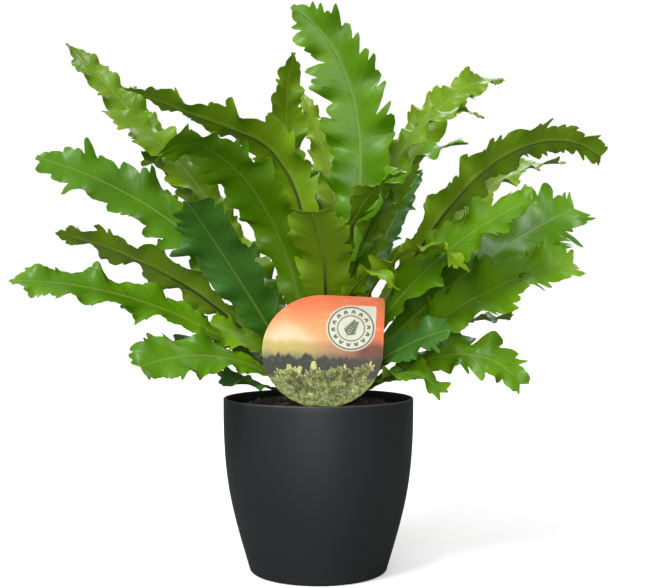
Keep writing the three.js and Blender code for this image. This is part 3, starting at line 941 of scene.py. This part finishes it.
# A paper badge with two rings, a circle of small leaf marks and a sprig. It carries no words.
def buildBadge():
    paper = bmesh.new()
    cornered(paper, label["badgeCentre"], label["badgeRadius"], 0.4 * mm)
    placeSlab(paper, 0.12 * mm, -label["thickness"] / 2 - 0.12 * mm)
    sheet = inkMaterial("badgePaper", label["paper"], tuple(c * 0.93 for c in label["paper"]))
    makePiece("label_badge", paper, [sheet], (), 30)

    marks = bmesh.new()
    x, z = label["badgeCentre"]
    for radius, stroke in label["badgeRings"]:
        centred = Matrix.Translation((x, 0, z)) @ upright
        ring = bmesh.ops.create_circle(marks, segments=72, radius=radius, matrix=centred)
        edges = list({e for v in ring["verts"] for e in v.link_edges})
        grown = bmesh.ops.extrude_edge_only(marks, edges=edges)
        for v in grown["geom"]:
            if isinstance(v, bmesh.types.BMVert):
                away = Vector((v.co.x - x, 0, v.co.z - z))
                v.co -= away * (stroke / radius)
    for i in range(label["badgeMarks"]):  # leaf marks between the rings
        angle = math.tau * i / label["badgeMarks"]
        reach = label["markRadius"]
        spot = (x + reach * math.sin(angle), z + reach * math.cos(angle))
        addLeaf(marks, spot, angle + 0.4 * (-1) ** i, 3.4 * mm, 1.5 * mm, 0)
    for i in range(6):  # sprig
        share = i / 5
        foot = (x - 2.2 * mm + 5 * mm * share, z - 4.8 * mm + 9 * mm * share)
        long = (6 - 3.2 * share) * mm
        for side in (-1, 1):
            addLeaf(marks, foot, 0.5 + side * 0.9, long, 1.9 * mm, 0)
    addLeaf(marks, (x - 3.5 * mm, z - 7.2 * mm), 0.5, 14.5 * mm, 0.8 * mm, 0)
    placeSlab(marks, 0.08 * mm, -label["thickness"] / 2 - 0.19 * mm)
    ink = inkMaterial("badgeInk", label["ink"], tuple(c * 0.8 for c in label["ink"]))
    makePiece("label_badge_print", marks, [ink], (), 30)


buildCard()
buildPrintedLeaves()
buildBadge()
print("plant label made")


studio = {
    "floorRadius": 9,  # metres
    "floorColour": (0.93, 0.93, 0.93),
    "floorBounce": (0.2, 0.2, 0.2),
    "floorGlow": 0.3,
    "background": (1.05, 1.05, 1.05),
    "horizon": (0.08, 0.08, 0.08),
    "zenith": (0.66, 0.66, 0.66),
    "lens": 60.4,
    "distance": 0.8,
    "eyeHeight": 0.203,
    "sideways": 0.003,
    "sun": ((-0.65, -0.85, 1.25), 22, 2.2),  # where it is, softness in degrees, strength
    "lampTarget": (0, 0, 0.2),
    "lamps": {  # place, size in metres, power in watts
        "front": ((-0.1, -1.5, 0.5), 0.8, 13),
        "side": ((-1.0, -0.7, 1.0), 0.4, 2),
        "back": ((0.3, 1.0, 1.3), 0.6, 6),
    },
}


def addStudio():
    shape = bmesh.new()
    bmesh.ops.create_circle(shape, cap_ends=True, segments=96, radius=studio["floorRadius"])
    mesh = bpy.data.meshes.new("studio_floor")
    shape.to_mesh(mesh)
    shape.free()
    g = newMaterial("floorPaper")
    seen = g.node("ShaderNodeLightPath", output="Is Camera Ray")
    paper = g.mix(seen, studio["floorBounce"], studio["floorColour"])
    sheet = g.finish(
        Base_Color=paper,
        Roughness=0.9,
        Specular_IOR_Level=0.1,
        Emission_Color=g.mix(seen, (0, 0, 0), (1, 1, 1)),
        Emission_Strength=studio["floorGlow"],
    )
    mesh.materials.append(sheet)
    floor = bpy.data.objects.new("studio_floor", mesh)
    bpy.context.collection.objects.link(floor)

    # a white backdrop in front of softer air that is brighter overhead
    world = bpy.data.worlds.new("studioAir")
    g = Graph(world)
    where = g.node("ShaderNodeTexCoord", output="Generated")
    height = g.node("ShaderNodeSeparateXYZ", {}, {0: where}, "Z")
    stops = ((0.1, studio["horizon"]), (0.8, studio["zenith"]))
    air = g.node("ShaderNodeValToRGB", {"stops": stops}, {0: height})
    seen = g.node("ShaderNodeLightPath", output="Is Camera Ray")
    colour = g.mix(seen, air, studio["background"])
    shine = g.node("ShaderNodeBackground", {}, {"Color": colour})
    g.node("ShaderNodeOutputWorld", {}, {"Surface": shine})
    bpy.context.scene.world = world

    source, softness, strength = studio["sun"]
    sun = bpy.data.lights.new("sunLamp", "SUN")
    sun.angle = math.radians(softness)
    sun.energy = strength
    holder = bpy.data.objects.new("sunLamp", sun)
    holder.rotation_euler = (-Vector(source)).to_track_quat("-Z", "Y").to_euler()
    bpy.context.collection.objects.link(holder)

    target = Vector(studio["lampTarget"])
    for name, (spot, size, power) in studio["lamps"].items():
        lamp = bpy.data.lights.new(name + "Lamp", "AREA")
        lamp.size = size
        lamp.energy = power
        holder = bpy.data.objects.new(name + "Lamp", lamp)
        holder.location = spot
        holder.rotation_euler = (target - Vector(spot)).to_track_quat("-Z", "Y").to_euler()
        bpy.context.collection.objects.link(holder)

    eye = bpy.data.cameras.new("studioCamera")
    eye.lens = studio["lens"]
    eye.sensor_width = 36
    camera = bpy.data.objects.new("studioCamera", eye)
    camera.location = (studio["sideways"], -studio["distance"], studio["eyeHeight"])
    camera.rotation_euler = (math.radians(90), 0, 0)
    bpy.context.collection.objects.link(camera)
    bpy.context.scene.camera = camera
    bpy.context.scene.view_settings.view_transform = "Standard"


addStudio()
print("studio made")
